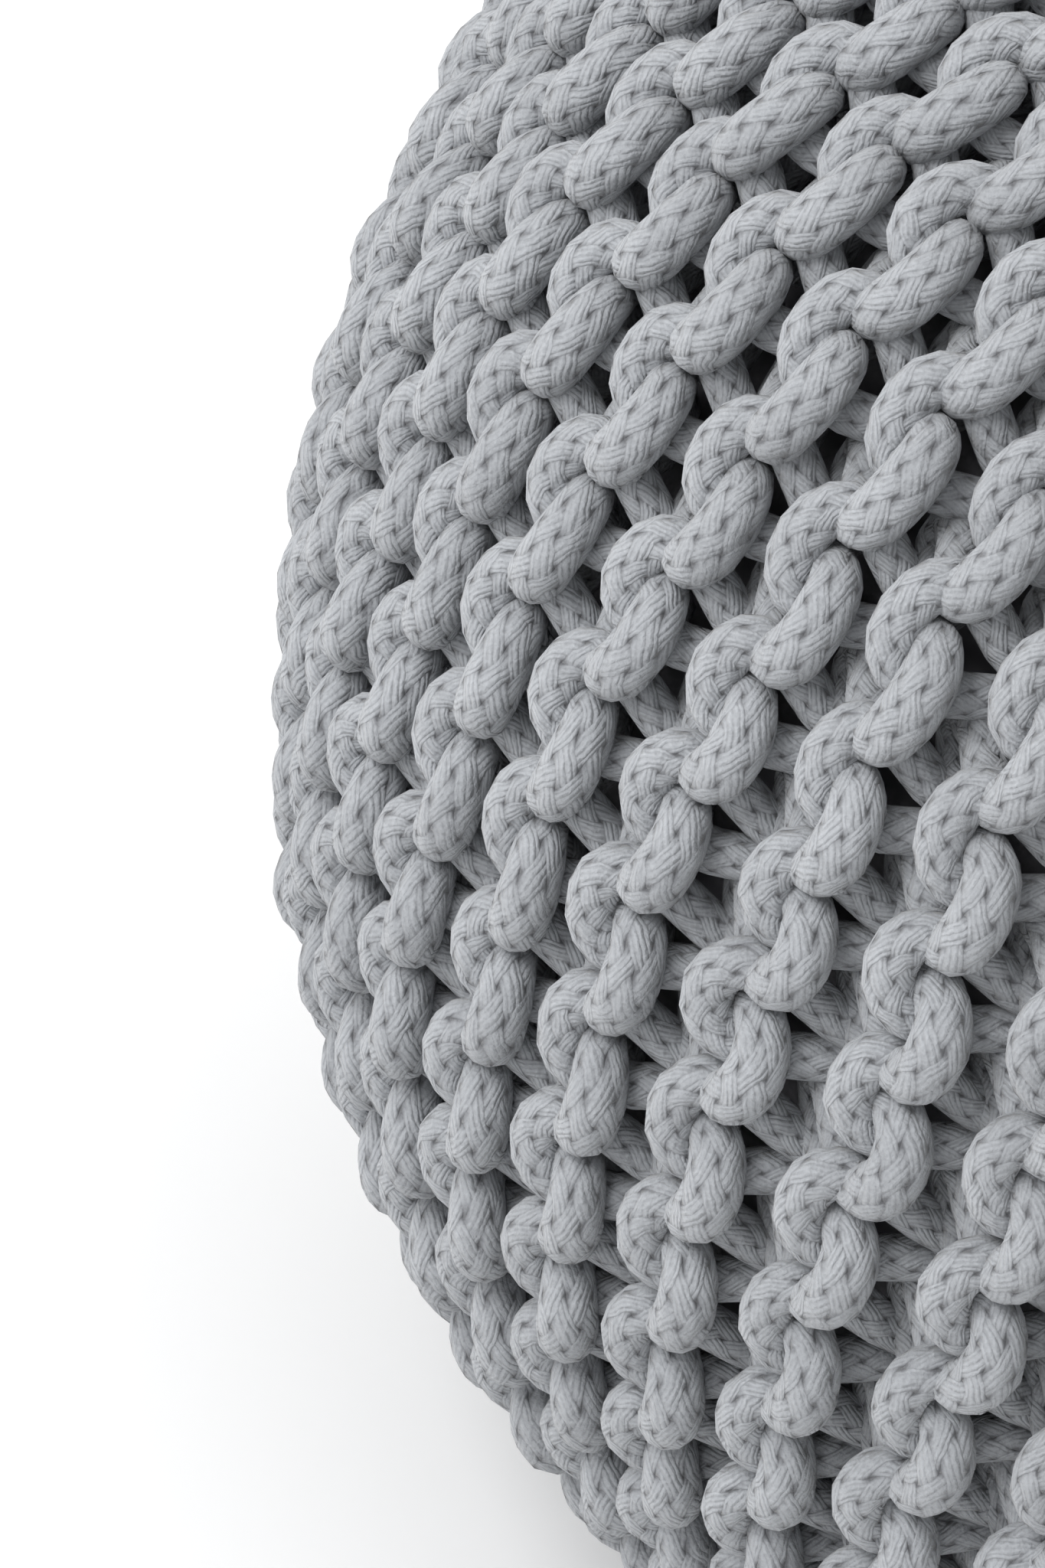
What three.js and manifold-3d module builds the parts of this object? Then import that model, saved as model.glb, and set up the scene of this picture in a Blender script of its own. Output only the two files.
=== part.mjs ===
// Knitted pouf: a thick braided-rope cover in garter knit, whose ridges run from the crown down to
// the foot, drawn over a filled cloth casing. Millimetres, +Z up, origin on the floor under the middle.
import * as THREE from 'three';
import { mergeVertices } from 'three/addons/utils/BufferGeometryUtils.js';
import Module from 'manifold-3d';

// Overall form
const WIDTH = 400; // across the widest ring, over the rope
const CROWN_HEIGHT = 333; // floor to crown before it is drawn in, which leaves 330 in all
const BELLY_HEIGHT = 162; // the widest ring stands this high
const FULLNESS = 2.3; // exponent of the side's curve: 2 is an ellipse, more is boxier
const SQUASH = 6; // how far the foot is pressed flat by the weight
const DIMPLE_DEPTH = 9; // the crown is drawn in where the ridges are gathered
const DIMPLE_RADIUS = 26;

// The knit
const ROPE = 8.6; // diameter of the braided rope
const WALL = 2.8 * ROPE; // the heads on the ridges, the legs, and the heads on the inner face
const FOOT_WALL = 2.6 * ROPE; // the same, pressed between the filling and the floor
const MOUTH_RADIUS = 18; // hole left where the ridges are gathered under the foot
const RIDGES = 52; // around the widest ring; a ridge is two courses of loops
const RIDGE_TURN = THREE.MathUtils.degToRad(4.18); // turns a ridge to 43 degrees left of the front
const GROOVE_DEPTH = 1.15 * ROPE; // between two ridges, down to the legs
const GROOVE_PER_PITCH = 0.42; // crowded ridges leave shallower grooves
const CROWDED_PITCH = 12.5; // every other ridge ends where they come closer than this
const MAX_HALVINGS = 2; // 52 ridges, then 26, then 13
const CREST_SHARE = 1 / 3; // flat part of a ridge, from its middle to the next groove's middle
const FOOT_FADE = 34; // the grooves fade in over this height above the flat foot

// The casing
const CLEARANCE = 0.3; // between the cover and the casing inside it

// Facets
const COLUMNS = 3 * RIDGES; // two on each ridge's crest and one in each groove
const COVER_RINGS = 28;
const CASING_COLUMNS = RIDGES;
const CASING_RINGS = 15;
const MERGE_DISTANCE = 1e-3;

const wasm = await Module();
wasm.setup();

/** The side's curve as [radius, height], from where it meets the floor level up to the crown. */
class SideCurve extends THREE.Curve {
  constructor(inset, floor) {
    super();
    this.radius = WIDTH / 2 - inset;
    this.rise = CROWN_HEIGHT - BELLY_HEIGHT - inset;
    this.drop = BELLY_HEIGHT + SQUASH - inset;
    const sine = ((BELLY_HEIGHT - floor) / this.drop) ** (FULLNESS / 2);
    this.start = -Math.asin(sine);
  }

  getPoint(share, target = new THREE.Vector2()) {
    const angle = THREE.MathUtils.lerp(this.start, Math.PI / 2, share);
    const power = 2 / FULLNESS;
    const radius = this.radius * Math.max(0, Math.cos(angle)) ** power;
    const reach = angle > 0 ? this.rise : -this.drop;
    const dimple = angle > 0 ? DIMPLE_DEPTH * Math.exp(-((radius / DIMPLE_RADIUS) ** 2)) : 0;
    const height = BELLY_HEIGHT + reach * Math.abs(Math.sin(angle)) ** power - dimple;
    return target.set(radius, height);
  }
}

/** A turned geometry with +Z up from a half outline of [radius, height] points, foot first. */
function turned(outline, columns) {
  outline.at(-1).x = 0;
  const geometry = new THREE.LatheGeometry(outline, columns);
  return geometry.rotateX(Math.PI / 2);
}

/** How many ridges are left at this radius, once the crowded ones have ended. */
function ridgesAt(radius) {
  const pitch = (2 * Math.PI * radius) / RIDGES;
  const halvings = Math.ceil(Math.log2(CROWDED_PITCH / Math.max(pitch, 1)));
  return RIDGES / 2 ** THREE.MathUtils.clamp(halvings, 0, MAX_HALVINGS);
}

/** Depth of the grooves at a point of the cover: none on the crests, most between two ridges. */
function grooveDepth(radius, height, angle) {
  const ridges = ridgesAt(radius);
  const pitch = (2 * Math.PI * radius) / ridges;
  const firstCrest = 0.5 / COLUMNS; // a crest's middle lies between its two columns
  const turns = (angle / (2 * Math.PI) - firstCrest) * ridges;
  const offCrest = 2 * Math.abs(turns - Math.round(turns));
  const across = THREE.MathUtils.smoothstep(offCrest, CREST_SHARE, 1);
  const foot = THREE.MathUtils.smoothstep(height, 0, FOOT_FADE);
  return Math.min(GROOVE_DEPTH, GROOVE_PER_PITCH * pitch) * across * foot;
}

/** Presses the grooves between the ridges into the cover's outer face. */
function carveGrooves(geometry) {
  const position = geometry.getAttribute('position');
  const normal = geometry.getAttribute('normal');
  const point = new THREE.Vector3();
  const inwards = new THREE.Vector3();
  for (let i = 0; i < position.count; i += 1) {
    point.fromBufferAttribute(position, i);
    const radius = Math.hypot(point.x, point.y);
    const depth = grooveDepth(radius, point.z, Math.atan2(point.y, point.x));
    inwards.fromBufferAttribute(normal, i).multiplyScalar(-depth);
    point.add(inwards);
    position.setXYZ(i, point.x, point.y, point.z);
  }
  return geometry;
}

/** The closed body that a geometry bounds: shared corners merged, faces without area dropped. */
function solidOf(geometry) {
  geometry.deleteAttribute('normal');
  geometry.deleteAttribute('uv');
  const merged = mergeVertices(geometry, MERGE_DISTANCE);
  const corners = merged.index.array;
  const triangles = [];
  for (let i = 0; i < corners.length; i += 3) {
    const [a, b, c] = corners.subarray(i, i + 3);
    if (a !== b && b !== c && c !== a) triangles.push(a, b, c);
  }
  const vertProperties = merged.getAttribute('position').array;
  const triVerts = new Uint32Array(triangles);
  return new wasm.Manifold(new wasm.Mesh({ numProp: 3, vertProperties, triVerts }));
}

/** A named mesh of a solid. */
function pieceOf(name, solid, finish) {
  const { vertProperties, triVerts } = solid.getMesh();
  const geometry = new THREE.BufferGeometry();
  geometry.setAttribute('position', new THREE.BufferAttribute(vertProperties, 3));
  geometry.setIndex(new THREE.BufferAttribute(triVerts, 1));
  geometry.computeVertexNormals();
  const mesh = new THREE.Mesh(geometry, new THREE.MeshStandardMaterial(finish));
  mesh.name = name;
  return mesh;
}

/** The cover's outer form: the ridged side and crown over a flat foot. */
function coverBody() {
  const side = new SideCurve(0, 0).getSpacedPoints(COVER_RINGS);
  const outline = [new THREE.Vector2(0, 0), ...side];
  const ridged = carveGrooves(turned(outline, COLUMNS));
  return solidOf(ridged.rotateZ(RIDGE_TURN));
}

/** What the casing fills, with the neck that leads down through the mouth in the foot. */
function cavity() {
  const below = -ROPE;
  const neck = [
    new THREE.Vector2(0, below),
    new THREE.Vector2(MOUTH_RADIUS, below),
    new THREE.Vector2(MOUTH_RADIUS, FOOT_WALL),
  ];
  const side = new SideCurve(WALL, FOOT_WALL).getSpacedPoints(CASING_RINGS);
  return solidOf(turned([...neck, ...side], CASING_COLUMNS));
}

/** The knitted cover: one wall of knit all round, open only at the gathered mouth below. */
function knittedCover() {
  const solid = coverBody().subtract(cavity());
  return pieceOf('knitted_cover', solid, { color: 0xb9bec2, roughness: 0.95, metalness: 0 });
}

/** The filled casing, which shows dark between the stitches and in the mouth. */
function innerCasing() {
  const floor = FOOT_WALL + CLEARANCE;
  const side = new SideCurve(WALL + CLEARANCE, floor).getSpacedPoints(CASING_RINGS);
  const outline = [new THREE.Vector2(0, floor), ...side];
  const solid = solidOf(turned(outline, CASING_COLUMNS));
  return pieceOf('inner_casing', solid, { color: 0x2b2d30, roughness: 0.9, metalness: 0 });
}

const pouf = new THREE.Group();
pouf.name = 'knitted_pouf';
pouf.add(knittedCover(), innerCasing());

export default pouf;
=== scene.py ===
"""A knitted pouf: braided cotton rope worked in garter ridges round a filled, dark casing.

The rope runs in courses from the foot to the crown. Two courses make one ridge: the heads of
one course stand on the ridge, and the loops that join the heads of the next lie over them.
"""

import logging
import math
from dataclasses import dataclass, field
from enum import Enum

import bmesh
import bpy
import numpy as np
from mathutils import Matrix, Vector

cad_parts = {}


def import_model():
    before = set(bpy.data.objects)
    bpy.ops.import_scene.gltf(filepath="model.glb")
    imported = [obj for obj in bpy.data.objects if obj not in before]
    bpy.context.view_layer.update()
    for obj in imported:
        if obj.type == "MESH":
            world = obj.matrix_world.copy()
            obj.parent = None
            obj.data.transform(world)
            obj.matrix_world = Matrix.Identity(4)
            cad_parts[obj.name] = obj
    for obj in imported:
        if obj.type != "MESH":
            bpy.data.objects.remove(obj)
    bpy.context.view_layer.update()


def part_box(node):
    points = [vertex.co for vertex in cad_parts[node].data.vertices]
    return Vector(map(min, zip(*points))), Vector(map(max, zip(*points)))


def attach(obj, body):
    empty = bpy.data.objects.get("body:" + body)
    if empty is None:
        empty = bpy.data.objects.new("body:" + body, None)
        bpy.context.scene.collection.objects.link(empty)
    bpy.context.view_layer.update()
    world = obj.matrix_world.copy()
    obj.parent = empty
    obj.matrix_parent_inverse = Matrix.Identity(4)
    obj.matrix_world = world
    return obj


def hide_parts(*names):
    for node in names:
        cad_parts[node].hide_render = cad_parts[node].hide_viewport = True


LOG = logging.getLogger("knitted_pouf")
BODY = "root"
COVER_NODE = "knitted_cover"
CASING_NODE = "inner_casing"
UV_ALONG_ROPE = "RopeUV"
KNIT_ABOVE_SOLID = 0.003

Array = np.ndarray


class LoopSide(Enum):
    """Which face of the fabric the heads of a course's loops stand on."""

    OUT = 1
    IN = -1


class PoufEnd(Enum):
    """The two ends of the pouf, where the rope is gathered and fastened."""

    CROWN = "crown"
    FOOT = "foot"


# ---------------------------------------------------------------- the overall form


@dataclass(frozen=True)
class SideProfile:
    """The side of the pouf as a curve from the middle of the foot to the middle of the crown.

    Its sizes are in metres. The fullness is 2 for a round side and more for a squarer one.
    """

    radius: float
    crown: float
    belly: float = 0.162
    fullness: float = 2.3
    squash: float = 0.006
    foot_softness: float = 0.004
    dimple_depth: float = 0.009
    dimple_radius: float = 0.026

    def outline(self, inset: float, count: int) -> tuple[Array, Array]:
        """Works out the outline.

        Args:
            inset: how far inside the outer face the curve lies.
            count: how many points it has.

        Returns:
            The radius and the height of each point, foot first.
        """
        angle = np.linspace(-math.pi / 2, math.pi / 2, count)
        power = 2 / self.fullness
        radius = (self.radius - inset) * np.clip(np.cos(angle), 0, 1) ** power
        rise = self.crown - self.belly - inset
        drop = self.belly + self.squash - inset
        reach = np.where(angle > 0, rise, -drop)
        dimple = self.dimple_depth * np.exp(-((radius / self.dimple_radius) ** 2))
        height = self.belly + reach * np.abs(np.sin(angle)) ** power - dimple * (angle > 0)
        above = height - inset
        pressed = inset + (above + np.sqrt(above**2 + self.foot_softness**2)) / 2
        return radius, pressed


class Meridian:
    """The outer face's outline by the length along it, measured upwards from the widest ring."""

    POINTS = 3001

    def __init__(self, profile: SideProfile) -> None:
        """Measures the profile.

        Args:
            profile: the side of the pouf.
        """
        radius, height = profile.outline(0.0, self.POINTS)
        steps = np.hypot(np.diff(radius), np.diff(height))
        length = np.concatenate([[0.0], np.cumsum(steps)])
        widest = self.POINTS // 2
        self.length = length - length[widest]
        self.radius = radius
        self.height = height
        along_r = np.gradient(radius, self.length)
        along_z = np.gradient(height, self.length)
        size = np.hypot(along_r, along_z)
        self.normal_r = along_z / size
        self.normal_z = -along_r / size

    def radius_at(self, length: Array) -> Array:
        """Radius of the outer face at each length."""
        return np.interp(length, self.length, self.radius)

    def points(self, length: Array, angle: Array, lift: Array) -> Array:
        """Places points over the outer face.

        Args:
            length: how far up the side each point is.
            angle: how far round it is, 0 at the front.
            lift: how far out from the outer face it is.

        Returns:
            One row of x, y and z for each point.
        """
        out = np.interp(length, self.length, self.normal_r)
        up = np.interp(length, self.length, self.normal_z)
        radius = self.radius_at(length) + lift * out
        height = np.interp(length, self.length, self.height) + lift * up
        return np.stack([radius * np.sin(angle), -radius * np.cos(angle), height], axis=1)


# ---------------------------------------------------------------- the knit


@dataclass(frozen=True)
class Unevenness:
    """The slow wander of a hand-knitted fabric, as a few seeded waves over the pouf."""

    seed: int
    size: float
    waves: int = 7
    least_round: int = 2
    most_round: int = 13
    longest: float = 0.34
    shortest: float = 0.07

    def at(self, length: Array, angle: Array) -> Array:
        """Value of the wander.

        Args:
            length: how far up the side each point is.
            angle: how far round it is.

        Returns:
            The wander at each point, mostly within size either way.
        """
        draw = np.random.default_rng(self.seed)
        total = np.zeros_like(length)
        for _ in range(self.waves):
            around = int(draw.integers(self.least_round, self.most_round))
            pitch = draw.uniform(self.shortest, self.longest) * draw.choice([-1, 1])
            phase = draw.uniform(0, 2 * math.pi)
            total += np.sin(around * angle + 2 * math.pi * length / pitch + phase)
        return total * self.size / math.sqrt(self.waves)


@dataclass(frozen=True)
class Stitch:
    """One loop of the rope.

    The rope, height and depth are in metres. The reach, tilt and rise are shares of the ridge
    spacing or of the depth, and the overhangs and leans are shares of the loop's height.
    """

    rope: float = 0.0086
    height: float = 0.0224
    reach: float = 0.455
    depth: float = 0.0075
    overhang: float = 0.18
    back_overhang: float = 0.24
    join_back_overhang: float = 0.08
    head_lean: float = 0.16
    join_lean: float = 0.36
    tilt: float = 0.13
    join_rise: float = 0.22
    join_width: float = 1.05
    head_width: float = 0.93
    leg_width: float = 0.8
    back_width: float = 0.85
    squeeze: float = 1.5
    rings: int = 18
    sides: int = 12
    samples: int = 400
    turn_weight: float = 0.62
    front_share: float = 0.35

    def shape(self, turn: Array, side: LoopSide) -> tuple[Array, Array, Array]:
        """The loop's middle line.

        Args:
            turn: where along the course, in loops.
            side: the face that the heads stand on.

        Returns:
            Along the course in metres, across it in ridge spacings and outwards in metres.
        """
        angle = 2 * math.pi * turn
        across = self.reach * np.cos(angle)
        back = self.back_overhang if side is LoopSide.OUT else self.join_back_overhang
        overhang = np.where(side.value * across > 0, self.overhang, back)
        along = turn * self.height + overhang * self.height * np.sin(2 * angle)
        lean = self.head_lean if side is LoopSide.OUT else self.join_lean
        along = along + lean * (across - side.value * self.reach) * self.height
        tilt = self.tilt if side is LoopSide.IN else 0.0
        across = across + tilt * np.sin(angle)
        rise = self.join_rise if side is LoopSide.IN else 0.0
        out = side.value * self.depth * (np.cos(angle) + rise * np.sin(angle))
        return along, across, out

    def width(self, turn: Array, side: LoopSide) -> Array:
        """How thick the rope is along the loop: it is squeezed where it is held.

        Args:
            turn: where along the course, in loops.
            side: the face that the heads stand on.

        Returns:
            The thickness at each place, as a share of the rope's.
        """
        swing = np.cos(2 * math.pi * turn)
        outer = np.clip(side.value * swing, 0, 1) ** self.squeeze
        inner = np.clip(-side.value * swing, 0, 1) ** self.squeeze
        front = self.head_width if side is LoopSide.OUT else self.join_width
        leg = self.leg_width
        return leg + (front - leg) * outer + (self.back_width - leg) * inner

    def ring_places(self, pitch: float, side: LoopSide) -> Array:
        """Where one loop's rings stand: closer where it bends, and most where it shows.

        Args:
            pitch: the ridge spacing in metres.
            side: the face that the heads stand on.

        Returns:
            Shares of the loop from 0, without the end.
        """
        turn = np.linspace(0, 1, self.samples + 1)
        along, across, out = self.shape(turn, side)
        line = np.stack([along, across * pitch, out], axis=1)
        steps = np.diff(line, axis=0)
        lengths = np.linalg.norm(steps, axis=1)
        ways = steps / lengths[:, None]
        turning = np.arccos(np.clip(np.sum(ways * np.roll(ways, 1, axis=0), axis=1), -1, 1))
        bend = turning / turning.sum()
        even = lengths / lengths.sum()
        share = self.turn_weight * bend + (1 - self.turn_weight) * even
        share *= 1 + self.front_share * np.clip(out[:-1] / self.depth, -1, 1)
        share /= share.sum()
        total = np.concatenate([[0.0], np.cumsum(share)])
        wanted = np.arange(self.rings) / self.rings
        return np.interp(wanted, total, turn)


class RidgeLayout:
    """How the ridges share the way round: fewer of them towards the crown and the foot."""

    COUNT = 52
    FIRST_ANGLE = -0.7800
    CLOSEST = 0.0145
    FADE = 6.0
    LEAST_SHARE = 1e-4
    GOLDEN = 0.6180339887
    POINTS = 601

    def __init__(self, meridian: Meridian) -> None:
        """Shares the ridges out.

        Args:
            meridian: the outline that the ridges run along.
        """
        self.length = np.linspace(meridian.length[0], meridian.length[-1], self.POINTS)
        room = 2 * math.pi * meridian.radius_at(self.length) / self.CLOSEST
        rank = (np.arange(self.COUNT) * self.GOLDEN) % 1.0 * self.COUNT
        fade = np.clip((room[None, :] - rank[:, None]) / self.FADE + 0.5, 0, 1)
        self.weight = fade * fade * (3 - 2 * fade)
        self.weight = np.maximum(self.weight, self.LEAST_SHARE)
        self.start = np.cumsum(self.weight, axis=0) - self.weight
        self.total = self.weight.sum(axis=0)
        even = np.arange(self.COUNT)[:, None] / self.COUNT
        self.drift = (self.start / self.total - even).mean(axis=0)

    def weight_at(self, ridge: int, length: Array) -> Array:
        """How much of its full share a ridge's courses have at each length."""
        return np.interp(length, self.length, self.weight[ridge])

    def angle_at(self, ridge: int, across: Array, length: Array) -> Array:
        """How far round a course's point is.

        Args:
            ridge: the ridge that the course starts from.
            across: how far past the ridge it is, in ridge spacings.
            length: how far up the side it is.

        Returns:
            The angle of each point.
        """
        start = np.interp(length, self.length, self.start[ridge])
        total = np.interp(length, self.length, self.total)
        drift = np.interp(length, self.length, self.drift)
        share = start + across * self.weight_at(ridge, length)
        return self.FIRST_ANGLE + 2 * math.pi * (share / total - drift)


@dataclass
class Course:
    """One course of the rope from the foot to the crown: its rings' middles and thicknesses."""

    points: Array
    thickness: Array

    def lengths(self) -> Array:
        """Length of rope up to each point."""
        steps = np.linalg.norm(np.diff(self.points, axis=0), axis=1)
        return np.concatenate([[0.0], np.cumsum(steps)])


@dataclass
class KnitCover:
    """The knitted cover: every course as a tube, joined in panels of a few ridges.

    The middles say how far past its ridge a course's middle line runs, in ridge spacings. The
    seeds of the drifts along and across aren't chance ones: they were searched for among
    thousands, for where they put the loops that face the camera.
    """

    meridian: Meridian
    layout: RidgeLayout
    stitch: Stitch = field(default_factory=Stitch)
    panels: int = 8
    first_loop: float = 0.0406
    loops_per_side: int = 16
    climb_in_loops: int = 3
    head_middle: float = 0.25
    join_middle: float = 0.75
    crown_hole: float = 0.013
    foot_hole: float = 0.021
    least_weight: float = 0.3
    sink: float = 0.005
    drift_along: Unevenness = Unevenness(4361, 0.0016)
    drift_across: Unevenness = Unevenness(1654, 0.0015)
    drift_out: Unevenness = Unevenness(13, 0.0007)
    loop_jitter: float = 0.035
    depth_jitter: float = 0.0004
    rope_jitter: float = 0.012
    jitter_seed: int = 5

    def phase(self, ridge: int) -> float:
        """Where a ridge's first loops start, as the loops climb a little from ridge to ridge."""
        climb = self.climb_in_loops * self.stitch.height / self.layout.COUNT
        return self.first_loop - self.stitch.height / 2 + climb * ridge

    def layer_depth(self) -> float:
        """How far the fabric's middle lies under the outer face."""
        return self.stitch.depth + self.stitch.rope / 2

    def course(self, ridge: int, side: LoopSide, draw: np.random.Generator) -> Course:
        """Lays one course on the pouf.

        Args:
            ridge: the ridge that it starts from.
            side: the face that its heads stand on.
            draw: the source of the small differences between loops.

        Returns:
            The course.
        """
        stitch = self.stitch
        spacing = 2 * math.pi * self.meridian.radius.max() / self.layout.COUNT
        places = stitch.ring_places(spacing, side)
        loops = np.arange(-self.loops_per_side, self.loops_per_side)
        turn = (loops[:, None] + places[None, :]).ravel()
        along, across, out = stitch.shape(turn, side)
        stations = np.arange(-self.loops_per_side, self.loops_per_side + 0.5, 0.5)
        reach = 1 + np.interp(turn, stations, draw.normal(0, self.loop_jitter, len(stations)))
        extra = np.interp(turn, stations, draw.normal(0, self.depth_jitter, len(stations)))
        middle = self.head_middle if side is LoopSide.OUT else self.join_middle
        length = along + self.phase(ridge if side is LoopSide.OUT else ridge + 1)
        kept = self.kept(ridge, length)
        length, across, out = length[kept], across[kept] * reach[kept], out[kept]
        extra = extra[kept]
        weight = self.layout.weight_at(ridge, length)
        angle = self.layout.angle_at(ridge, middle - across, length)
        wander = self.drift_across.at(length, angle)
        out = out * weight - self.sink * (1 - weight) + extra
        out = out + self.drift_out.at(length, angle) - self.layer_depth()
        radius = np.maximum(self.meridian.radius_at(length), spacing)
        angle = angle + wander / radius
        length = length + self.drift_along.at(length, angle)
        points = self.meridian.points(length, angle, out)
        thickness = stitch.width(turn[kept], side)
        thickness = thickness * (1 + draw.normal(0, self.rope_jitter, len(points)))
        points[:, 2] = np.maximum(points[:, 2], stitch.rope / 2 * thickness)
        return Course(points, thickness)

    def kept(self, ridge: int, length: Array) -> Array:
        """The stretch of a course that is worked.

        Args:
            ridge: the ridge that it starts from.
            length: how far up the side each of its points is.

        Returns:
            The indices of the points in the stretch.
        """
        radius = self.meridian.radius_at(length)
        hole = np.where(length > 0, self.crown_hole, self.foot_hole)
        inside = (length > self.meridian.length[0]) & (length < self.meridian.length[-1])
        good = inside & (radius > hole)
        good &= self.layout.weight_at(ridge, length) > self.least_weight
        middle = int(np.argmin(np.abs(length)))
        after = np.nonzero(~good[middle:])[0]
        before = np.nonzero(~good[:middle])[0]
        last = middle + after[0] if len(after) else len(good)
        first = before[-1] + 1 if len(before) else 0
        return np.arange(first, last)

    def build(self, material: bpy.types.Material) -> list[bpy.types.Object]:
        """Builds the panels.

        Args:
            material: the rope's material.

        Returns:
            The panels' objects.
        """
        draw = np.random.default_rng(self.jitter_seed)
        edges = np.round(np.linspace(0, self.layout.COUNT, self.panels + 1)).astype(int)
        made = []
        for number, (first, last) in enumerate(zip(edges[:-1], edges[1:]), start=1):
            courses = [
                self.course(ridge, side, draw)
                for ridge in range(first, last)
                for side in LoopSide
            ]
            panel = rope_object(f"knit_panel_{number}", courses, self.stitch)
            panel.data.materials.append(material)
            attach(panel, BODY)
            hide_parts(COVER_NODE)
            made.append(panel)
            loops = sum(len(course.points) for course in courses) / self.stitch.rings
            LOG.info("%s: %d courses, about %d loops", panel.name, len(courses), loops)
        return made


@dataclass(frozen=True)
class ClosingCoil:
    """The last of the rope, coiled flat over the gathered loops and sewn down."""

    end: PoufEnd
    outer: float
    inner: float = 0.0024
    closeness: float = 0.92
    points_a_turn: int = 26
    tucked: float = 0.09
    tuck_depth: float = 0.009
    sink: float = 0.0005

    def course(self, meridian: Meridian, rope: float) -> Course:
        """Winds the coil.

        Args:
            meridian: the outline that it lies on.
            rope: how thick the rope is.

        Returns:
            The coil from its tucked-in outer end to its middle.
        """
        turns = (self.outer - self.inner) / (self.closeness * rope)
        share = np.linspace(0, 1, round(turns * self.points_a_turn))
        radius = self.outer + (self.inner - self.outer) * share
        angle = 2 * math.pi * turns * share
        dip = self.tuck_depth * np.exp(-((share / self.tucked) ** 2))
        if self.end is PoufEnd.CROWN:
            half = meridian.length > 0
            face = np.interp(radius, meridian.radius[half][::-1], meridian.height[half][::-1])
            height = face - rope / 2 - self.sink - dip
        else:
            height = rope / 2 + dip
        points = np.stack([radius * np.sin(angle), radius * np.cos(angle), height], axis=1)
        return Course(points, np.ones(len(points)))

    def build(self, meridian: Meridian, stitch: Stitch, material: bpy.types.Material) -> None:
        """Builds the coil.

        Args:
            meridian: the outline that it lies on.
            stitch: the loop, for the rope's thickness and its number of sides.
            material: the rope's material.
        """
        course = self.course(meridian, stitch.rope)
        coil = rope_object(f"{self.end.value}_coil", [course], stitch)
        coil.data.materials.append(material)
        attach(coil, BODY)
        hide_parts(COVER_NODE)
        LOG.info("%s: %.0f mm of rope", coil.name, course.lengths()[-1] * 1000)


def rope_object(name: str, courses: list[Course], stitch: Stitch) -> bpy.types.Object:
    """Makes tubes along courses.

    Args:
        name: the new object's name.
        courses: the courses.
        stitch: the loop, for the rope's thickness and its number of sides.

    Returns:
        A mesh object with a map that runs along the rope in metres.
    """
    curve = bpy.data.curves.new(name + "_line", "CURVE")
    curve.dimensions = "3D"
    curve.bevel_depth = stitch.rope / 2
    curve.bevel_resolution = (stitch.sides - 4) // 2
    for course in courses:
        spline = curve.splines.new("POLY")
        spline.points.add(len(course.points) - 1)
        places = np.concatenate([course.points, np.ones((len(course.points), 1))], axis=1)
        spline.points.foreach_set("co", places.astype(np.float32).ravel())
        spline.points.foreach_set("radius", course.thickness.astype(np.float32))
    line = bpy.data.objects.new(name + "_line", curve)
    bpy.context.scene.collection.objects.link(line)
    graph = bpy.context.evaluated_depsgraph_get()
    mesh = bpy.data.meshes.new_from_object(line.evaluated_get(graph))
    bpy.data.objects.remove(line)
    bpy.data.curves.remove(curve)
    map_along_rope(mesh, courses, stitch.sides)
    close_ends(mesh)
    mesh.name = name
    made = bpy.data.objects.new(name, mesh)
    bpy.context.scene.collection.objects.link(made)
    return made


def map_along_rope(mesh: bpy.types.Mesh, courses: list[Course], sides: int) -> None:
    """Maps tubes: across the map is metres of rope, and up it is once round.

    Args:
        mesh: the tubes, ring after ring and course after course.
        courses: the courses that they follow.
        sides: how many corners a ring has.
    """
    along = np.concatenate([np.repeat(course.lengths(), sides) for course in courses])
    corner = np.empty(len(mesh.loops), dtype=np.int32)
    mesh.loops.foreach_get("vertex_index", corner)
    side = corner % sides
    face_side = side.reshape(-1, 4)
    wraps = (face_side.max(axis=1) == sides - 1) & (face_side.min(axis=1) == 0)
    face_side = np.where(wraps[:, None] & (face_side == 0), sides, face_side)
    layer = mesh.uv_layers[0]
    layer.name = UV_ALONG_ROPE
    places = np.stack([along[corner], face_side.ravel() / sides], axis=1)
    layer.data.foreach_set("uv", places.astype(np.float32).ravel())


def close_ends(mesh: bpy.types.Mesh) -> None:
    """Fills the open ends of tubes and shades them smooth.

    Args:
        mesh: the tubes.
    """
    work = bmesh.new()
    work.from_mesh(mesh)
    open_edges = [edge for edge in work.edges if edge.is_boundary]
    bmesh.ops.holes_fill(work, edges=open_edges, sides=0)
    work.to_mesh(mesh)
    work.free()
    mesh.shade_smooth()


# ---------------------------------------------------------------- the casing


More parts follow.
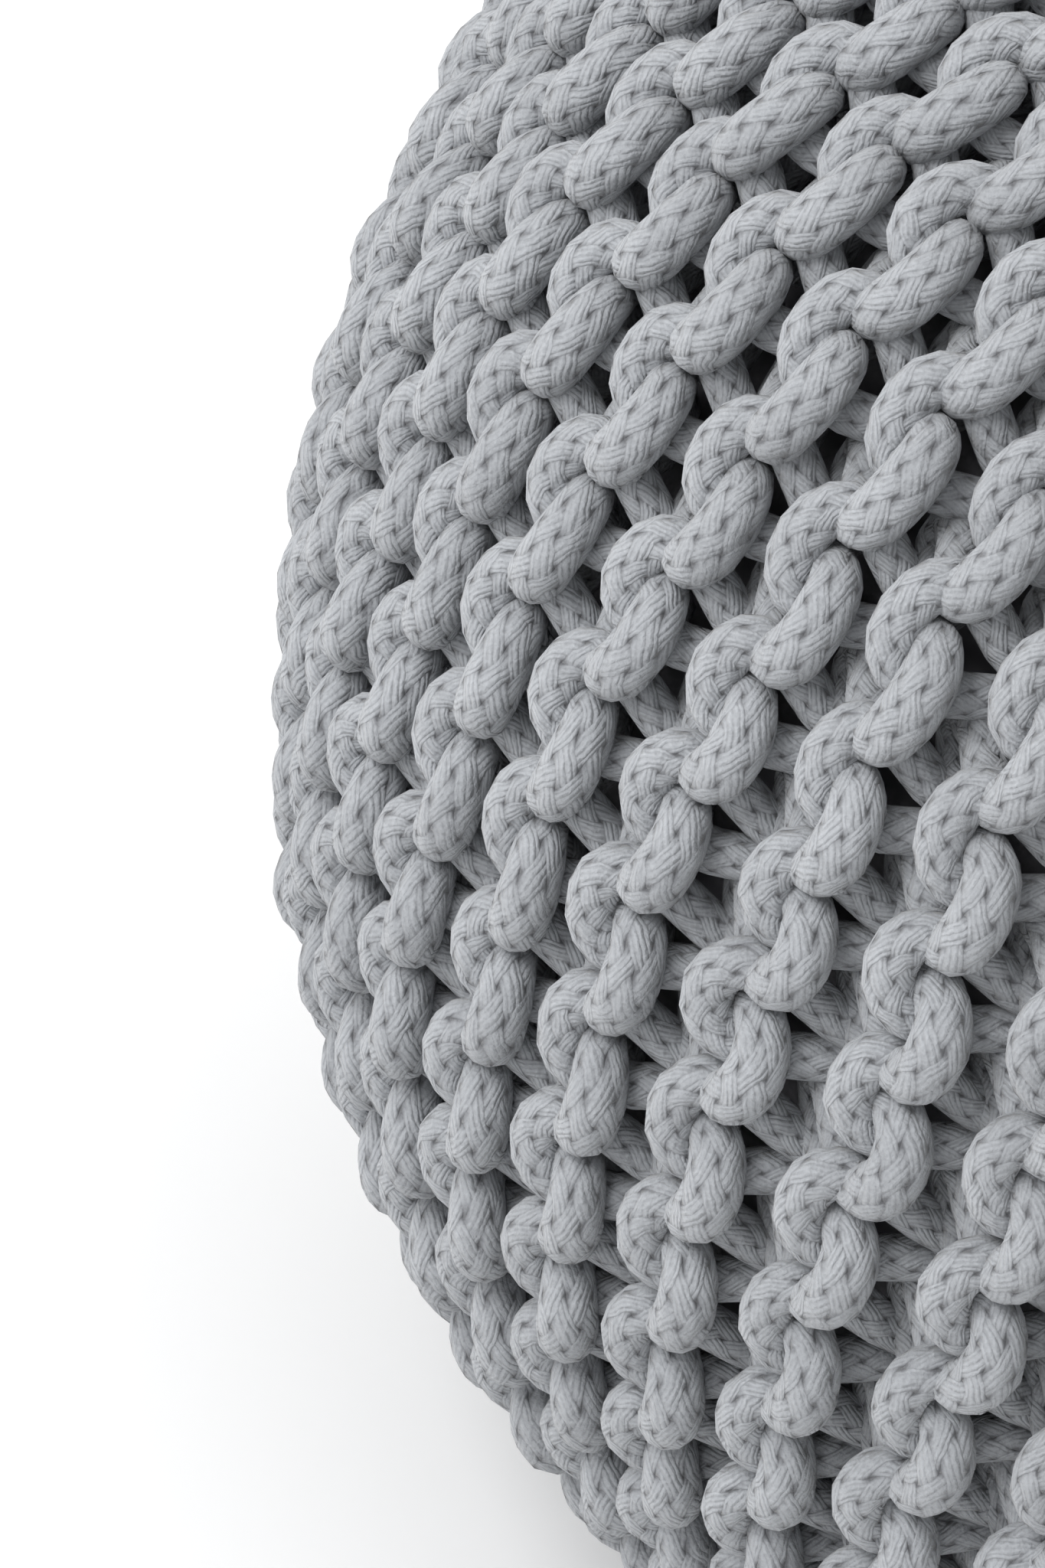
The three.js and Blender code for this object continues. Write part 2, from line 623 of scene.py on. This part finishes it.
@dataclass
class FilledCasing:
    """The round bag of filling inside the cover, dark where it shows between the loops."""

    profile: SideProfile
    inset: float = 0.0255
    outline_points: int = 49
    steps: int = 96
    seams: int = 8
    seam_depth: float = 0.0015
    merge_distance: float = 1e-5
    ring_stride: float = 10.0

    def build(self, material: bpy.types.Material) -> bpy.types.Object:
        """Builds the casing.

        Args:
            material: the cloth's material.

        Returns:
            The casing's object.
        """
        radius, height = self.profile.outline(self.inset, self.outline_points)
        work = bmesh.new()
        corners = [work.verts.new((r, 0.0, z)) for r, z in zip(radius, height)]
        edges = [work.edges.new(pair) for pair in zip(corners[:-1], corners[1:])]
        bmesh.ops.spin(
            work,
            geom=corners + edges,
            cent=(0, 0, 0),
            axis=(0, 0, 1),
            angle=2 * math.pi,
            steps=self.steps,
            use_merge=True,
        )
        bmesh.ops.remove_doubles(work, verts=work.verts, dist=self.merge_distance)
        self.draw_in_seams(work)
        bmesh.ops.recalc_face_normals(work, faces=work.faces)
        work.verts.sort(key=lambda corner: self.rank(corner.co))
        work.edges.sort(key=lambda edge: self.rank((edge.verts[0].co + edge.verts[1].co) / 2))
        work.faces.sort(key=lambda face: self.rank(face.calc_center_median()))
        mesh = bpy.data.meshes.new("filled_casing")
        work.to_mesh(mesh)
        work.free()
        mesh.shade_smooth()
        casing = bpy.data.objects.new("filled_casing", mesh)
        bpy.context.scene.collection.objects.link(casing)
        mesh.materials.append(material)
        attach(casing, BODY)
        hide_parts(CASING_NODE)
        LOG.info("filled_casing: %d faces", len(mesh.polygons))
        return casing

    def rank(self, place: Vector) -> float:
        """A number that orders places ring by ring, so that every run gives the same mesh."""
        ring = round(place.z / self.merge_distance)
        return ring * self.ring_stride + math.atan2(place.y, place.x)

    def draw_in_seams(self, work: bmesh.types.BMesh) -> None:
        """Draws the seams between the casing's panels slightly in.

        Args:
            work: the casing's mesh.
        """
        for corner in work.verts:
            angle = math.atan2(corner.co.y, corner.co.x)
            off_seam = abs(math.sin(angle * self.seams / 2))
            share = 1 - self.seam_depth / self.profile.radius * (1 - off_seam)
            corner.co.x *= share
            corner.co.y *= share


# ---------------------------------------------------------------- finishes


@dataclass(frozen=True)
class Grain:
    """A noise pattern: its scale, and its layers of finer detail."""

    scale: float
    detail: float


@dataclass(frozen=True)
class Span:
    """A range of numbers that is stretched to another range."""

    low: float
    high: float
    to_low: float
    to_high: float


@dataclass(frozen=True)
class Shares:
    """How much each part of the rope's face counts for."""

    yarn: float
    streak: float
    fibre: float
    cloud: float = 0.0


class Wiring:
    """A short way to write a material's nodes."""

    def __init__(self, name: str) -> None:
        """Starts an empty material.

        Args:
            name: the material's name.
        """
        self.material = bpy.data.materials.new(name)
        self.material.use_nodes = True
        self.tree = self.material.node_tree
        self.tree.nodes.clear()

    def node(self, kind: str, **settings: object) -> bpy.types.Node:
        """Adds a node.

        Args:
            kind: the node's type, without its ShaderNode prefix.
            settings: the node's own properties.

        Returns:
            The node.
        """
        made = self.tree.nodes.new("ShaderNode" + kind)
        for name, value in settings.items():
            setattr(made, name, value)
        return made

    def feed(self, socket: bpy.types.NodeSocket, value: object) -> None:
        """Sets a socket to a number or colour, or links it to another socket.

        Args:
            socket: the socket that is fed.
            value: the number, colour or socket that feeds it.
        """
        if isinstance(value, bpy.types.NodeSocket):
            self.tree.links.new(value, socket)
        else:
            socket.default_value = value

    def math(self, kind: str, *values: object) -> bpy.types.NodeSocket:
        """Works out one step of arithmetic.

        Args:
            kind: the operation.
            values: its numbers or sockets.

        Returns:
            The result's socket.
        """
        made = self.node("Math", operation=kind)
        for socket, value in zip(made.inputs, values):
            self.feed(socket, value)
        return made.outputs[0]

    def blend(self, share: object, low: object, high: object) -> bpy.types.NodeSocket:
        """Mixes two colours.

        Args:
            share: how much of the second.
            low: the first colour.
            high: the second colour.

        Returns:
            The colour's socket.
        """
        made = self.node("Mix", data_type="RGBA")
        self.feed(made.inputs["Factor"], share)
        self.feed(made.inputs[6], low)
        self.feed(made.inputs[7], high)
        return made.outputs[2]

    def stretch(self, value: bpy.types.NodeSocket, span: Span) -> bpy.types.NodeSocket:
        """Stretches a number from one range to another, held at the ends.

        Args:
            value: the number's socket.
            span: the two ranges.

        Returns:
            The result's socket.
        """
        made = self.node("MapRange")
        self.feed(made.inputs["Value"], value)
        self.feed(made.inputs["From Min"], span.low)
        self.feed(made.inputs["From Max"], span.high)
        self.feed(made.inputs["To Min"], span.to_low)
        self.feed(made.inputs["To Max"], span.to_high)
        return made.outputs[0]

    def noise(self, place: bpy.types.NodeSocket, grain: Grain) -> bpy.types.NodeSocket:
        """Makes a noise pattern.

        Args:
            place: where it is read.
            grain: how fine it is.

        Returns:
            The socket of its value, from 0 to 1.
        """
        made = self.node("TexNoise")
        self.feed(made.inputs["Vector"], place)
        self.feed(made.inputs["Scale"], grain.scale)
        self.feed(made.inputs["Detail"], grain.detail)
        return made.outputs["Fac"]

    def bump(self, height: bpy.types.NodeSocket, distance: float) -> bpy.types.NodeSocket:
        """Turns a height into relief.

        Args:
            height: the height's socket.
            distance: how deep the relief is in metres.

        Returns:
            The socket of the surface's direction.
        """
        made = self.node("Bump")
        self.feed(made.inputs["Distance"], distance)
        self.feed(made.inputs["Height"], height)
        return made.outputs[0]

    def finished(self, shader: bpy.types.Node) -> bpy.types.Material:
        """Makes a shader the material's surface.

        Args:
            shader: the shader.

        Returns:
            The material.
        """
        output = self.node("OutputMaterial")
        self.feed(output.inputs["Surface"], shader.outputs[0])
        return self.material


@dataclass(frozen=True)
class BraidedRope:
    """Grey cotton rope: flat strands of a few yarns each, braided one over one."""

    rope: float
    strands: int = 6
    braid_angle: float = math.radians(36.5)
    yarns: float = 4.0
    crimp: float = 0.5
    edge: float = 3.0
    light: tuple[float, float, float, float] = (0.446, 0.463, 0.488, 1)
    # shade is the dark end of the rope's colour: it takes the painted shade in the braid's dips
    # and the darker side of the rope's random tone.
    shade: tuple[float, float, float, float] = (0.14, 0.144, 0.154, 1)
    relief: float = 0.00055
    roughness: float = 0.93
    specular: float = 0.12
    sheen: float = 0.3
    sheen_roughness: float = 0.5
    fibre: Grain = Grain(1300.0, 5.0)
    cloud: Grain = Grain(70.0, 2.0)
    thread: Grain = Grain(1.0, 2.0)
    threads_across: float = 5.0
    threads_along: float = 1.6
    thread_step: float = 3.7
    waver: Grain = Grain(280.0, 1.0)
    waver_size: float = 0.04
    slip: Grain = Grain(190.0, 1.0)
    slip_size: float = 0.045
    yarn_clearness: Span = Span(0.35, 0.6, 0.55, 1.0)
    # Painted shade: the rope's colour darkens where the braid's face dips, at the strands' edges
    # and in the pits where they cross.
    crevice_painted_shade: Span = Span(-0.8, 0.05, -0.2, 0.63)
    in_relief: Shares = Shares(yarn=0.36, streak=0.34, fibre=0.8)
    # The yarn share darkens the grooves between yarns, which is painted shade. The streak, cloud
    # and fibre shares are the rope's own uneven tone.
    in_tone: Shares = Shares(yarn=0.14, streak=0.22, fibre=0.6, cloud=0.35)

    def lead(self) -> float:
        """Length of rope in which a strand goes once round."""
        return math.pi * self.rope / math.tan(self.braid_angle)

    def build(self) -> bpy.types.Material:
        """Builds the finish.

        Returns:
            The material.
        """
        wiring = Wiring("braided_rope")
        place = wiring.node("UVMap", uv_map=UV_ALONG_ROPE).outputs[0]
        objects = wiring.node("TexCoord").outputs["Object"]
        body, across, along, strand = self.weave(wiring, place, objects)
        yarn_angle = wiring.math("MULTIPLY", across, math.pi * self.yarns)
        yarn = wiring.math("ABSOLUTE", wiring.math("SINE", yarn_angle))
        streak = self.streaks(wiring, across, along, strand)
        fibre = wiring.noise(objects, self.fibre)
        cloud = wiring.noise(objects, self.cloud)
        yarn = wiring.math("MULTIPLY", yarn, wiring.stretch(cloud, self.yarn_clearness))
        height = wiring.math("MULTIPLY_ADD", yarn, self.in_relief.yarn, body)
        height = wiring.math("MULTIPLY_ADD", streak, self.in_relief.streak, height)
        height = wiring.math("MULTIPLY_ADD", fibre, self.in_relief.fibre, height)
        # Painted shade: the colour starts from the braid's height, darker at the strands' edges
        # and in the pits at their crossings.
        shade_and_tone = wiring.stretch(body, self.crevice_painted_shade)
        # The yarn share paints shade into the grooves between yarns. Streak, cloud and fibre add
        # the rope's own uneven tone.
        shares = self.in_tone
        for part, share in (
            (yarn, shares.yarn),
            (streak, shares.streak),
            (cloud, shares.cloud),
            (fibre, shares.fibre),
        ):
            off_middle = wiring.math("SUBTRACT", part, 0.5)
            shade_and_tone = wiring.math("MULTIPLY_ADD", off_middle, share, shade_and_tone)
        shader = wiring.node("BsdfPrincipled")
        wiring.feed(shader.inputs["Base Color"], wiring.blend(shade_and_tone, self.shade, self.light))
        wiring.feed(shader.inputs["Roughness"], self.roughness)
        wiring.feed(shader.inputs["Normal"], wiring.bump(height, self.relief))
        wiring.feed(shader.inputs["Specular IOR Level"], self.specular)
        wiring.feed(shader.inputs["Sheen Weight"], self.sheen)
        wiring.feed(shader.inputs["Sheen Roughness"], self.sheen_roughness)
        return wiring.finished(shader)

    def weave(
        self, wiring: Wiring, place: bpy.types.NodeSocket, objects: bpy.types.NodeSocket
    ) -> tuple[bpy.types.NodeSocket, ...]:
        """Works out which strand of the braid lies on top.

        Args:
            wiring: the material's nodes.
            place: the map along and round the rope.
            objects: the place on the piece, which makes the strands waver.

        Returns:
            The height of the braid's face, the place across the top strand and the place along
            it to the next crossing, both from 0 to 1, and a number that tells strands apart.
        """
        apart = wiring.node("SeparateXYZ")
        wiring.feed(apart.inputs[0], place)
        waver = wiring.math("SUBTRACT", wiring.noise(objects, self.waver), 0.5)
        around = wiring.math("MULTIPLY_ADD", waver, self.waver_size, apart.outputs[1])
        slip = wiring.math("SUBTRACT", wiring.noise(objects, self.slip), 0.5)
        turns = wiring.math("DIVIDE", apart.outputs[0], self.lead())
        turns = wiring.math("MULTIPLY_ADD", slip, self.slip_size, turns)
        one = wiring.math("MULTIPLY", wiring.math("ADD", around, turns), self.strands)
        other = wiring.math("MULTIPLY", wiring.math("SUBTRACT", around, turns), self.strands)
        one_part = wiring.math("FRACT", one)
        other_part = wiring.math("FRACT", other)
        one_number = wiring.math("FLOOR", one)
        whole = wiring.math("ADD", one_number, wiring.math("FLOOR", other))
        under = wiring.math("FLOORED_MODULO", whole, 2.0)
        over = wiring.math("MULTIPLY_ADD", under, -2.0 * self.crimp, self.crimp)
        one_height = self.strand_height(wiring, one_part, other_part, over)
        beneath = wiring.math("MULTIPLY", over, -1.0)
        other_height = self.strand_height(wiring, other_part, one_part, beneath)
        height = wiring.math("MAXIMUM", one_height, other_height)
        on_top = wiring.math("GREATER_THAN", one_height, other_height)
        gap = wiring.math("SUBTRACT", one_part, other_part)
        across = wiring.math("MULTIPLY_ADD", on_top, gap, other_part)
        along = wiring.math("SUBTRACT", wiring.math("ADD", one_part, other_part), across)
        top_number = wiring.math("MULTIPLY", one_number, on_top)
        strand = wiring.math("MULTIPLY_ADD", whole, self.thread_step, top_number)
        return height, across, along, strand

    def strand_height(
        self,
        wiring: Wiring,
        across: bpy.types.NodeSocket,
        along: bpy.types.NodeSocket,
        crimp: bpy.types.NodeSocket,
    ) -> bpy.types.NodeSocket:
        """How high a strand's face is where it passes over or under another.

        Args:
            wiring: the material's nodes.
            across: the place across the strand from 0 to 1.
            along: the place along it, from one edge of the other strand to the other edge.
            crimp: how far it rises over the other, below 0 where it passes under.

        Returns:
            The height's socket.
        """
        wave = wiring.math("SINE", wiring.math("MULTIPLY", along, math.pi))
        off = wiring.math("ABSOLUTE", wiring.math("MULTIPLY_ADD", across, 2.0, -1.0))
        drop = wiring.math("POWER", off, self.edge)
        return wiring.math("SUBTRACT", wiring.math("MULTIPLY", wave, crimp), drop)

    def streaks(
        self,
        wiring: Wiring,
        across: bpy.types.NodeSocket,
        along: bpy.types.NodeSocket,
        strand: bpy.types.NodeSocket,
    ) -> bpy.types.NodeSocket:
        """Makes the uneven threads that run along each strand.

        Args:
            wiring: the material's nodes.
            across: the place across the strand.
            along: the place along it.
            strand: a number that tells strands apart.

        Returns:
            The socket of their value, from 0 to 1.
        """
        made = wiring.node("CombineXYZ")
        wiring.feed(made.inputs[0], wiring.math("MULTIPLY", across, self.threads_across))
        wiring.feed(made.inputs[1], wiring.math("MULTIPLY", along, self.threads_along))
        wiring.feed(made.inputs[2], strand)
        return wiring.noise(made.outputs[0], self.thread)


@dataclass(frozen=True)
class CasingCloth:
    """Dark plain-woven casing cloth."""

    thread: float = 0.0011
    bands_a_unit: float = 20.0
    wobble: float = 0.6
    slub: Grain = Grain(600.0, 3.0)
    relief: float = 0.0004
    roughness: float = 0.95
    specular: float = 0.1
    dark: tuple[float, float, float, float] = (0.15, 0.147, 0.16, 1)
    light: tuple[float, float, float, float] = (0.34, 0.334, 0.36, 1)

    def build(self) -> bpy.types.Material:
        """Builds the finish.

        Returns:
            The material.
        """
        wiring = Wiring("casing_cloth")
        objects = wiring.node("TexCoord").outputs["Object"]
        threads = wiring.node("TexWave", wave_type="BANDS", bands_direction="Z")
        wiring.feed(threads.inputs["Vector"], objects)
        wiring.feed(threads.inputs["Scale"], 1 / (self.thread * self.bands_a_unit))
        wiring.feed(threads.inputs["Distortion"], self.wobble)
        slub = wiring.noise(objects, self.slub)
        height = wiring.math("MULTIPLY", threads.outputs["Fac"], slub)
        shader = wiring.node("BsdfPrincipled")
        wiring.feed(shader.inputs["Base Color"], wiring.blend(height, self.dark, self.light))
        wiring.feed(shader.inputs["Roughness"], self.roughness)
        wiring.feed(shader.inputs["Specular IOR Level"], self.specular)
        wiring.feed(shader.inputs["Normal"], wiring.bump(height, self.relief))
        return wiring.finished(shader)


# ---------------------------------------------------------------- the studio


@dataclass(frozen=True)
class Viewpoint:
    """A long lens from above the front, rolled so that the pouf leans to the right."""

    target: Vector
    elevation: float = 0.5489
    roll: float = 0.3652
    distance: float = 2.286
    aside: float = -0.1632
    above: float = -0.0076
    frame_height: float = 0.2341
    sensor: float = 36.0
    farthest: float = 50.0

    def build(self) -> bpy.types.Object:
        """Builds the camera and makes it the scene's own.

        Returns:
            The camera's object.
        """
        sine, cosine = math.sin(self.elevation), math.cos(self.elevation)
        level = Vector((1, 0, 0))
        upright = Vector((0, sine, cosine))
        back = Vector((0, -cosine, sine))
        right = math.cos(self.roll) * level + math.sin(self.roll) * upright
        up = math.cos(self.roll) * upright - math.sin(self.roll) * level
        place = self.target + self.distance * back
        aim = self.target + self.aside * right + self.above * up
        away = (place - aim).normalized()
        side = up.cross(away).normalized()
        turned = Matrix((side, away.cross(side), away)).transposed()
        data = bpy.data.cameras.new("camera")
        data.sensor_width = self.sensor
        data.lens = self.sensor * (place - aim).length / self.frame_height
        data.clip_end = self.farthest
        camera = bpy.data.objects.new("camera", data)
        camera.matrix_world = Matrix.Translation(place) @ turned.to_4x4()
        bpy.context.scene.collection.objects.link(camera)
        bpy.context.scene.camera = camera
        return camera


@dataclass(frozen=True)
class SoftLamp:
    """A square soft light that faces the pouf."""

    name: str
    place: tuple[float, float, float]
    size: float
    power: float

    def build(self, target: Vector) -> None:
        """Builds the lamp.

        Args:
            target: what it faces.
        """
        data = bpy.data.lights.new(self.name, "AREA")
        data.shape = "SQUARE"
        data.size = self.size
        data.energy = self.power
        lamp = bpy.data.objects.new(self.name, data)
        lamp.location = self.place
        facing = target - Vector(self.place)
        lamp.rotation_euler = facing.to_track_quat("-Z", "Y").to_euler()
        bpy.context.scene.collection.objects.link(lamp)


@dataclass(frozen=True)
class Studio:
    """A white floor, a pale surround and soft lamps."""

    floor_size: float = 14.0
    floor_colour: tuple[float, float, float, float] = (0.95, 0.95, 0.95, 1)
    surround: float = 0.82
    lamps: tuple[SoftLamp, ...] = (
        SoftLamp("key", (-1.7, -1.5, 2.1), 1.5, 56.0),
        SoftLamp("fill", (-2.2, 0.6, 1.0), 1.8, 12.0),
    )

    def build(self, target: Vector) -> None:
        """Builds the studio.

        Args:
            target: the middle of the pouf, which the lamps face.
        """
        work = bmesh.new()
        bmesh.ops.create_grid(work, x_segments=1, y_segments=1, size=self.floor_size / 2)
        mesh = bpy.data.meshes.new("floor")
        work.to_mesh(mesh)
        work.free()
        floor = bpy.data.objects.new("floor", mesh)
        bpy.context.scene.collection.objects.link(floor)
        wiring = Wiring("floor_paint")
        shader = wiring.node("BsdfDiffuse")
        wiring.feed(shader.inputs["Color"], self.floor_colour)
        mesh.materials.append(wiring.finished(shader))
        world = bpy.data.worlds.new("surround")
        world.use_nodes = True
        background = world.node_tree.nodes["Background"]
        background.inputs["Color"].default_value = (1, 1, 1, 1)
        background.inputs["Strength"].default_value = self.surround
        bpy.context.scene.world = world
        bpy.context.scene.view_settings.view_transform = "Standard"
        for lamp in self.lamps:
            lamp.build(target)


def main() -> None:
    """Builds the pouf and its studio."""
    logging.basicConfig(level=logging.INFO, format="%(message)s")
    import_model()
    low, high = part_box(COVER_NODE)
    profile = SideProfile(radius=(high[0] - low[0]) / 2, crown=high[2] + KNIT_ABOVE_SOLID)
    middle = Vector((0, 0, profile.belly))
    Viewpoint(middle).build()
    Studio().build(middle)
    meridian = Meridian(profile)
    cover = KnitCover(meridian, RidgeLayout(meridian))
    rope = BraidedRope(cover.stitch.rope).build()
    cover.build(rope)
    ClosingCoil(PoufEnd.CROWN, outer=0.021).build(meridian, cover.stitch, rope)
    ClosingCoil(PoufEnd.FOOT, outer=0.025).build(meridian, cover.stitch, rope)
    FilledCasing(profile).build(CasingCloth().build())


if __name__ == "__main__":
    main()
